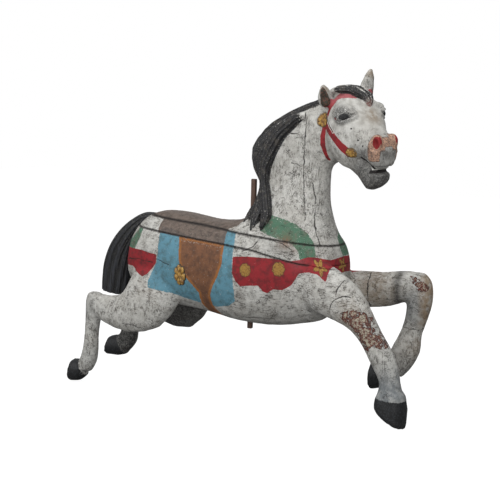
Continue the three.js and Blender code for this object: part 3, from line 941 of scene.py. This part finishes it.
coat_edge, given, result = group(
    "coat_edge",
    [("Place", "NodeSocketVector", (0, 0, 0)), ("Distance", "NodeSocketFloat", 0.0),
     ("Ragged", "NodeSocketFloat", 1.5), ("Chips", "NodeSocketFloat", 0.5)],
    [("Mask", "NodeSocketFloat")],
)
rough_edge = wire(coat_edge, "TexNoise", {"Vector": given["Place"], "Scale": 120.0, "Detail": 5.0,
    "Roughness": 0.65})
stray = times(coat_edge, minus(coat_edge, rough_edge.outputs["Fac"], 0.5),
    times(coat_edge, given["Ragged"], 4.0))
edge = plus(coat_edge, given["Distance"], stray)
covered = wire(coat_edge, "MapRange", {"Value": edge, "From Min": -0.5, "From Max": 0.5},
    interpolation_type="SMOOTHSTEP").outputs[0]
flakes = wire(coat_edge, "TexNoise", {"Vector": given["Place"], "Scale": 210.0, "Detail": 6.0,
    "Roughness": 0.72})
depth = wire(coat_edge, "MapRange", {"Value": given["Distance"], "From Min": 0.0, "From Max": 9.0,
    "To Min": -0.06, "To Max": 0.0}).outputs[0]
level = minus(coat_edge, given["Chips"], depth)
kept = wire(coat_edge, "MapRange", {"Value": flakes.outputs["Fac"], "From Min": level,
            "From Max": plus(coat_edge, level, 0.03)}).outputs[0]
coat_edge.links.new(times(coat_edge, covered, kept), result.inputs["Mask"])


def coat(tree, under, over, mask):
    """One colour laid over another where the mask is 1."""
    return wire(tree, "Mix", {"Factor": mask, "A": under, "B": over}, data_type="RGBA").outputs["Result"]


def place_of(tree, name):
    return wire(tree, "Attribute", attribute_name=name).outputs["Fac"]


def spread(tree, value, low, high, to_low=0.0, to_high=1.0):
    return wire(tree, "MapRange", {"Value": value, "From Min": low, "From Max": high, "To Min": to_low,
                "To Max": to_high}, interpolation_type="SMOOTHSTEP").outputs[0]


horse_paint, tree, place = new_paint("horse_paint")


def flaked(paint, ragged, chips):
    """Where a paint still covers: paint is its attribute or a distance, ragged and chips as in coat_edge."""
    distance = place_of(tree, paint) if isinstance(paint, str) else paint
    return use(tree, coat_edge, Place=place, Distance=distance, Ragged=ragged, Chips=chips)["Mask"]


clouds = noise(tree, place, 11.0, 3.0)
mottle = noise(tree, place, 52.0, 5.0, 0.62)
speck = noise(tree, place, 190.0, 6.0, 0.7)
grain_lie = wire(tree, "Mapping", {"Vector": place, "Scale": (22, 190, 190)}).outputs[0]
grain = noise(tree, grain_lie, 1.0, 4.0, 0.6)
wide = use(tree, crazing, Place=place, Cells=44.0, Width=0.055, Broken=0.47)["Lines"]
small = use(tree, crazing, Place=place, Cells=120.0, Width=0.12, Broken=0.46)["Lines"]

# white ground, yellowed and dirty, with fine checks that run with the wood
ground = coat(tree, tint(202, 201, 196), tint(172, 170, 164), spread(tree, mottle, 0.38, 0.66))
ground = coat(tree, ground, tint(160, 156, 148), times(tree, spread(tree, clouds, 0.42, 0.7), 0.4))
height = wire(tree, "SeparateXYZ", {0: place}).outputs["Z"]
standing = calc(tree, "MAXIMUM", spread(tree, height, 0.36, 0.42), spread(tree, height, 0.1, 0.04))
lie = wire(tree, "Mapping", {"Vector": place, "Scale": (45, 300, 300)}).outputs[0]
stand = wire(tree, "Mapping", {"Vector": place, "Scale": (300, 300, 45)}).outputs[0]
lying_check = noise(tree, lie, 1.0, 3.0, 0.6)
upright_check = noise(tree, stand, 1.0, 3.0, 0.6)
check = wire(tree, "Mix", {"Factor": standing, "A": lying_check, "B": upright_check},
    data_type="FLOAT").outputs[0]
patches = noise(tree, place, 26.0, 4.0, 0.6)
clean = place_of(tree, "clean")
busy = times(tree, spread(tree, patches, 0.4, 0.62, 0.25, 1.0), minus(tree, 1.0, clean))
checks = times(tree, spread(tree, check, 0.54, 0.6), busy)
ground = coat(tree, ground, tint(74, 70, 65), times(tree, checks, 0.85))
pit_noise = noise(tree, place, 300.0, 2.0, 0.5)
pits = times(tree, spread(tree, pit_noise, 0.58, 0.63), busy)
ground = coat(tree, ground, tint(58, 54, 50), times(tree, pits, 0.75))
chip_noise = noise(tree, place, 88.0, 5.0, 0.7)
chips = times(tree, spread(tree, chip_noise, 0.61, 0.64),
    times(tree, busy, spread(tree, height, 0.4, 0.28, 0.2, 1.0)))
ground = coat(tree, ground, tint(82, 76, 70), times(tree, chips, 0.8))
ground = coat(tree, ground, tint(96, 104, 110),
    times(tree, place_of(tree, "blued"), spread(tree, mottle, 0.3, 0.6, 0.6, 1.0)))
aged = place_of(tree, "aged")
ground = coat(tree, ground, coat(tree, tint(150, 132, 106), tint(120, 96, 72), grain),
    times(tree, aged, spread(tree, mottle, 0.3, 0.55, 0.25, 0.85)))
# soot, and painted shade round the eyes, over the muzzle, under the jaw and on the far legs, laid on in flecks
soot_and_shade = place_of(tree, "soot_and_shade")
soot_and_shade_flecked = times(tree, soot_and_shade, spread(tree, speck, 0.3, 0.6, 0.55, 1.0))
ground = coat(tree, ground, tint(46, 46, 46), soot_and_shade_flecked)

# trappings
band = flaked("band", 1.6, 0.36)
skin = coat(tree, ground, coat(tree, tint(74, 112, 90), tint(98, 104, 88), spread(tree, mottle, 0.45, 0.7)),
    band)
skin = coat(tree, skin, tint(122, 84, 64),
    times(tree, place_of(tree, "rust"), spread(tree, speck, 0.4, 0.55, 0.3, 1.0)))
cloth = flaked("cloth", 1.6, 0.34)
skin = coat(tree, skin, coat(tree, tint(92, 140, 158), tint(80, 116, 126), spread(tree, mottle, 0.42, 0.66)),
    cloth)
flap_place = place_of(tree, "flap")
flap = flaked(flap_place, 1.2, 0.33)
leather = coat(tree, tint(120, 80, 54), tint(94, 64, 46), spread(tree, mottle, 0.4, 0.66))
leather = coat(tree, leather, tint(158, 100, 46), times(tree, spread(tree, flap_place, 13.0, 5.0), 0.75))
skin = coat(tree, skin, leather, flap)
scallops = flaked("scallops", 0.6, 0.5)
skin = coat(tree, skin, tint(176, 170, 160), times(tree, scallops, 0.75))
seat = flaked("seat", 2.4, 0.3)
hide = coat(tree, tint(98, 82, 72), tint(74, 62, 55), spread(tree, mottle, 0.4, 0.66))
hide = coat(tree, hide, tint(150, 140, 130), times(tree, spread(tree, speck, 0.55, 0.66), 0.5))
skin = coat(tree, skin, hide, times(tree, seat, 0.93))
red_mask = flaked("red", 1.0, 0.29)
scarlet = coat(tree, tint(146, 30, 38), tint(108, 28, 32), spread(tree, mottle, 0.42, 0.66))
scarlet = coat(tree, scarlet, tint(168, 98, 102),
    times(tree, place_of(tree, "faded"), spread(tree, speck, 0.35, 0.6, 0.5, 0.9)))
skin = coat(tree, skin, scarlet, red_mask)
gold_place = place_of(tree, "gold")
gold_rim = flaked(plus(tree, gold_place, 2.2), 0.7, 0.3)
skin = coat(tree, skin, tint(70, 56, 34), times(tree, gold_rim, 0.7))
gold_mask = flaked(gold_place, 0.8, 0.38)
skin = coat(tree, skin, coat(tree, tint(164, 126, 58), tint(118, 82, 40), spread(tree, speck, 0.45, 0.66)),
    gold_mask)

# worn-through wood, mouth, nose and eyes
flake_noise = noise(tree, place, 60.0, 6.0, 0.74)
bared = plus(tree, flake_noise, spread(tree, place_of(tree, "worn"), -15.0, 9.0, -0.2, 0.05))
old_layers = coat(tree, tint(50, 37, 32), tint(112, 58, 48), spread(tree, bared, 0.51, 0.55))
old_layers = coat(tree, old_layers, tint(170, 164, 146), spread(tree, bared, 0.575, 0.60))
skin = coat(tree, skin, coat(tree, old_layers, tint(84, 52, 44), times(tree, spread(tree, speck, 0.48, 0.58),
    0.8)), spread(tree, bared, 0.465, 0.485))
rim_mask = flaked("rim", 1.6, 0.34)
skin = coat(tree, skin, coat(tree, tint(186, 148, 124), tint(122, 98, 86), spread(tree, speck, 0.42, 0.6)),
    rim_mask)
rim_outline = spread(tree, calc(tree, "ABSOLUTE", place_of(tree, "rim")), 2.2, 0.8)
skin = coat(tree, skin, tint(74, 58, 52), times(tree, rim_outline, spread(tree, speck, 0.4, 0.56, 0.25, 0.8)))
pupil_mask = flaked("pupil", 1.2, 0.3)
for colour, mask in (
    (tint(132, 26, 28), flaked("nostril", 0.6, 0.2)),
    (tint(228, 227, 220), flaked("teeth", 0.5, 0.2)),
    (tint(30, 26, 25), flaked("mouth", 0.5, 0.1)),
    (tint(28, 27, 28), flaked("edging", 0.4, 0.3)),
    (tint(22, 22, 24), pupil_mask),
    (tint(150, 44, 48), flaked("corner", 0.6, 0.2)),
):
    skin = coat(tree, skin, colour, mask)

lash_noise = noise(tree, place, 330.0, 3.0, 0.8)
lashes = times(tree, place_of(tree, "lashes"), minus(tree, 1.0, times(tree, pupil_mask, 0.85)))
skin = coat(tree, skin, tint(40, 40, 42), times(tree, lashes, spread(tree, lash_noise, 0.53, 0.47, 0.0, 0.85)))
skin = coat(tree, skin, tint(222, 222, 218),
    times(tree, lashes, spread(tree, lash_noise, 0.57, 0.63, 0.0, 0.9)))
ear_mask = flaked("ear_hollow", 1.2, 0.25)
skin = coat(tree, skin, coat(tree, tint(50, 48, 38), tint(104, 66, 54), spread(tree, speck, 0.46, 0.62)),
    ear_mask)

# hooves and hair
hoof_mask = flaked("hoof", 2.2, 0.3)
skin = coat(tree, skin, coat(tree, tint(14, 15, 17), tint(44, 47, 51), spread(tree, speck, 0.46, 0.64)),
    hoof_mask)
strand = place_of(tree, "strand")
hair_mask = flaked("hair", 1.0, 0.3)
# strands darker in the carved grooves as painted shade, and lighter grey on the worn ridges
lockshade = coat(tree, tint(12, 12, 14), tint(42, 42, 45), spread(tree, strand, -1.4, 1.6))
lockshade = coat(tree, lockshade, tint(86, 80, 72), times(tree, spread(tree, mottle, 0.5, 0.66), 0.5))
lockshade = coat(tree, lockshade, tint(150, 146, 138), times(tree, spread(tree, speck, 0.585, 0.645), 0.7))
lockshade = coat(tree, lockshade, coat(tree, tint(150, 104, 96), tint(206, 198, 190),
    spread(tree, speck, 0.46, 0.56)), place_of(tree, "bald"))
skin = coat(tree, skin, lockshade, hair_mask)

# dirt in the crazing, the splits and beside the open glue lines
dark_coat = calc(tree, "MAXIMUM", hair_mask, hoof_mask)
lines = calc(tree, "MAXIMUM", wide, times(tree, small, 0.65))
paints = calc(tree, "MAXIMUM", calc(tree, "MAXIMUM", cloth, flap), calc(tree, "MAXIMUM", red_mask, seat))
lines = times(tree, lines, minus(tree, 1.0, times(tree, dark_coat, 0.7)))
lines = times(tree, lines, minus(tree, 1.0, times(tree, paints, 0.55)))
lines = times(tree, lines, minus(tree, 1.0, times(tree, clean, 0.8)))
skin = coat(tree, skin, tint(48, 44, 40), times(tree, lines, 0.9))
bend = times(tree, minus(tree, mottle, 0.5), 14.0)
split_off = calc(tree, "ABSOLUTE", plus(tree, place_of(tree, "split_side"), bend))
stray = times(tree, minus(tree, patches, 0.52), 7.0)
split = times(tree, spread(tree, plus(tree, split_off, stray), 1.5, 0.6),
    spread(tree, place_of(tree, "split_reach"), 8.0, 5.0))
skin = coat(tree, skin, tint(36, 31, 28), times(tree, split, 0.9))
hole = spread(tree, place_of(tree, "hole"), -0.6, 0.4)
skin = coat(tree, skin, tint(18, 16, 15), hole)
seam_dirt = times(tree, spread(tree, place_of(tree, "glue_line"), 5.5, 1.5),
    spread(tree, speck, 0.4, 0.6, 0.6, 1.0))
skin = coat(tree, skin, tint(32, 28, 26), seam_dirt)
rough = minus(tree, 0.72, times(tree, dark_coat, 0.2))
relief = minus(tree, times(tree, mottle, 0.5), times(tree, lines, 0.55))
relief = plus(tree, relief, times(tree, speck, 0.4))
relief = plus(tree, relief, times(tree, grain, 0.25))
relief = minus(tree, relief, times(tree, calc(tree, "MAXIMUM", split, hole), 2.2))
dress(tree, skin, plus(tree, rough, times(tree, speck, 0.12)), relief, 0.8, 0.0012)

for name, piece in carved_pieces:
    mesh = bpy.data.meshes.new(name)
    piece.to_mesh(mesh)
    skins[name] = BVHTree.FromBMesh(piece)
    piece.free()
    count = len(mesh.vertices)
    at = np.empty(count * 3, np.float32)
    mesh.vertices.foreach_get("co", at)
    facing = np.empty(count * 3, np.float32)
    mesh.vertices.foreach_get("normal", facing)
    for paint, values in paint_places(at.reshape(-1, 3).astype(float),
        facing.reshape(-1, 3).astype(float)).items():
        mesh.attributes.new(paint, "FLOAT", "POINT").data.foreach_set("value", values.astype(np.float32))
    mesh.transform(Matrix.Scale(MM, 4))
    mesh.shade_smooth()
    mesh.materials.append(horse_paint)
    body = bpy.data.objects.new(name, mesh)
    scene.collection.objects.link(body)
    print("PIECE", name, len(mesh.vertices), sum(len(f.vertices) - 2 for f in mesh.polygons))
    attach(body, "root")
    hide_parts("horse")

# ---- Rosettes ----
# Small carved flowers, gilded over dark size: one on each side of the saddle cloth, and on the
# bridle below each ear and at each end of the bit. Each is bedded into the wood beneath it.

gilding, tree, place = new_paint("gilding")
rubbed = noise(tree, place, 260.0, 5.0, 0.7)
patchy = noise(tree, place, 90.0, 3.0)
raised = place_of(tree, "raised")
gold = coat(tree, tint(178, 138, 64), tint(124, 88, 44), spread(tree, patchy, 0.4, 0.62))
gold = coat(tree, gold, tint(226, 204, 150), times(tree, spread(tree, rubbed, 0.56, 0.66), 0.5))
gold = coat(tree, gold, tint(54, 44, 30), spread(tree, plus(tree, raised, times(tree, rubbed, 0.3)), 0.72,
    0.42))
dress(tree, gold, spread(tree, rubbed, 0.3, 0.7, 0.42, 0.68), rubbed, 0.5, 0.0008)


def rosette(name, skin, middle, facing, wide, tall, proud, petals):
    """A carved flower on the skin at middle; wide and tall are half sizes and proud its height, in mm."""
    middle, facing = Vector(middle), Vector(facing).normalized()
    right = Vector((0, 0, 1)).cross(facing).normalized()
    up = facing.cross(right)
    rings, heights = [], []
    for top, reaches in ((True, np.linspace(0.03, 1, 26)), (False, np.linspace(0.96, 0.03, 4))):
        for r in reaches:
            ring = []
            for a in np.linspace(0, 2 * math.pi, 112, endpoint=False):
                leaf = abs(math.cos(petals * a / 2 + 0.4))
                edge = 0.86 + 0.14 * leaf ** 0.5
                at = middle + right * (wide * r * edge * math.cos(a)) + up * (tall * r * edge * math.sin(a))
                hit = skin.ray_cast(at + facing * 60, -facing)[0] or at
                if r < 0.3:
                    height = 0.75 + 0.25 * math.sqrt(max(0, 1 - (r / 0.3) ** 2)) * (0.8 + 0.2 * math.cos(5 * a))
                else:
                    t = (r - 0.3) / 0.7
                    height = (0.35 + 0.65 * leaf ** 0.8) * math.sin(math.pi * min(1, 0.12 + t * 0.88)) ** 0.55
                    height -= 0.16 * (abs(math.sin(petals * a / 2 + 0.4)) < 0.16)
                heights.append(max(0, height) if top else 0)
                ring.append(hit + facing * (proud * max(0, height) + 0.2 if top else -2.5))
            rings.append(ring)
    piece = closed_skin(name, np.array(rings) * MM, gilding)
    heights += [1.0, 0.0]
    piece.data.attributes.new("raised", "FLOAT", "POINT").data.foreach_set("value", heights)
    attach(piece, "root")
    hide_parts("horse")


for side, word in ((-1, "right"), (1, "left")):
    rosette("cloth_rosette_" + word, skins["lower_trunk_legs"], (-185, side * 148, 178), (0, side, -0.12), 24,
        37, 8, 7)
    for label, spot, size in (("ear_rosette_", (8, side * 62, 700), (20, 21)),
        ("bit_rosette_", (146, side * 64, 608), (13, 14))):
        middle = from_head([spot])[0]
        facing = from_head([(0, side, 0)])[0] - from_head([(0, 0, 0)])[0]
        rosette(label + word, skins["top_block_head_neck"], middle, facing, *size, 3.5, 8)

# ---- Tail ----
# A separate block carved into long hanging strands, let into the rump and painted near-black.
# The end is cut off square.

TAIL_PATH = [
    (-372, 0, 342, 14, 24), (-428, 0, 330, 26, 32), (-488, 0, 280, 40, 38), (-530, 0, 215, 52, 42),
    (-553, 0, 140, 58, 42), (-562, 0, 60, 54, 40),
]


def through(stations, steps):
    """Even smooth stations through the given ones."""
    s = np.array(stations, float)
    s = np.concatenate([s[:1], s, s[-1:]])
    out = []
    for i in range(1, len(s) - 2):
        a, b, c, d = s[i - 1:i + 3]
        for t in np.linspace(0, 1, steps, endpoint=False):
            bend, twist = 2 * a - 5 * b + 4 * c - d, 3 * b - a - 3 * c + d
            out.append(0.5 * (2 * b + (c - a) * t + bend * t * t + twist * t ** 3))
    out.append(s[-2])
    return np.array(out)


hair_paint, tree, place = new_paint("hair_paint")
along_hair = wire(tree, "Mapping", {"Vector": place, "Scale": (240, 240, 16)}).outputs[0]
hairs = noise(tree, along_hair, 1.0, 4.0, 0.65)
dust = noise(tree, place, 170.0, 5.0, 0.7)
# pale flecks, more of them towards the top of the tail
toward_top = spread(tree, wire(tree, "SeparateXYZ", {0: place}).outputs["Z"], 0.2, 0.36)
# near-black hair with lighter streaks, a little darker in the carved grooves as painted shade
black = coat(tree, tint(10, 10, 12), tint(42, 44, 50),
    spread(tree, plus(tree, hairs, times(tree, place_of(tree, "strand"), 0.12)), 0.4, 0.66))
black = coat(tree, black, tint(92, 92, 86), times(tree, spread(tree, dust, 0.5, 0.64),
    plus(tree, 0.25, times(tree, toward_top, 0.5))))
cracks = use(tree, crazing, Place=place, Cells=70.0, Width=0.07, Broken=0.46)["Lines"]
black = coat(tree, black, tint(10, 10, 11), times(tree, cracks, 0.8))
relief = minus(tree, plus(tree, times(tree, hairs, 0.7), times(tree, dust, 0.3)), times(tree, cracks, 0.4))
dress(tree, black, spread(tree, dust, 0.3, 0.7, 0.48, 0.78), relief, 0.8, 0.0015)

stations = through(TAIL_PATH, 32)
run = np.gradient(stations[:, :3], axis=0)
run /= np.linalg.norm(run, axis=1, keepdims=True)
rings, strands = [], []
turn = np.linspace(0, 2 * math.pi, 160, endpoint=False)
for i, (x, y, z, depth, width) in enumerate(stations):
    share = i / (len(stations) - 1)
    side = np.array([0.0, 1, 0])
    up = np.cross(side, run[i])
    power = 2 / 2.1
    c, s = np.cos(turn), np.sin(turn)
    ring = np.outer(np.sign(c) * np.abs(c) ** power * width,
        side) + np.outer(np.sign(s) * np.abs(s) ** power * depth, up)
    wave = np.cos(11 * turn + 2.6 * share + 0.8 * math.sin(7 * share))
    wave += 0.6 * np.cos(27 * turn - 4 * share + math.sin(11 * share))
    deep = np.clip((wave + 0.2) * 1.4, -1, 0)
    groove = 0.026 * wave + 0.05 * deep - 0.045
    strands += wave.tolist()
    rings.append(np.array([x, y, z]) + ring * (1 + groove * min(1, 4 * share))[:, None])
tail = closed_skin("carved_tail", np.array(rings) * MM, hair_paint)
tail.data.attributes.new("strand", "FLOAT", "POINT").data.foreach_set("value", strands + [0.0, 0.0])
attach(tail, "root")
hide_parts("tail")

# ---- Sizes ----
# The CAD box.

print("CAD", [round(v, 4) for c in cad_box for v in c])
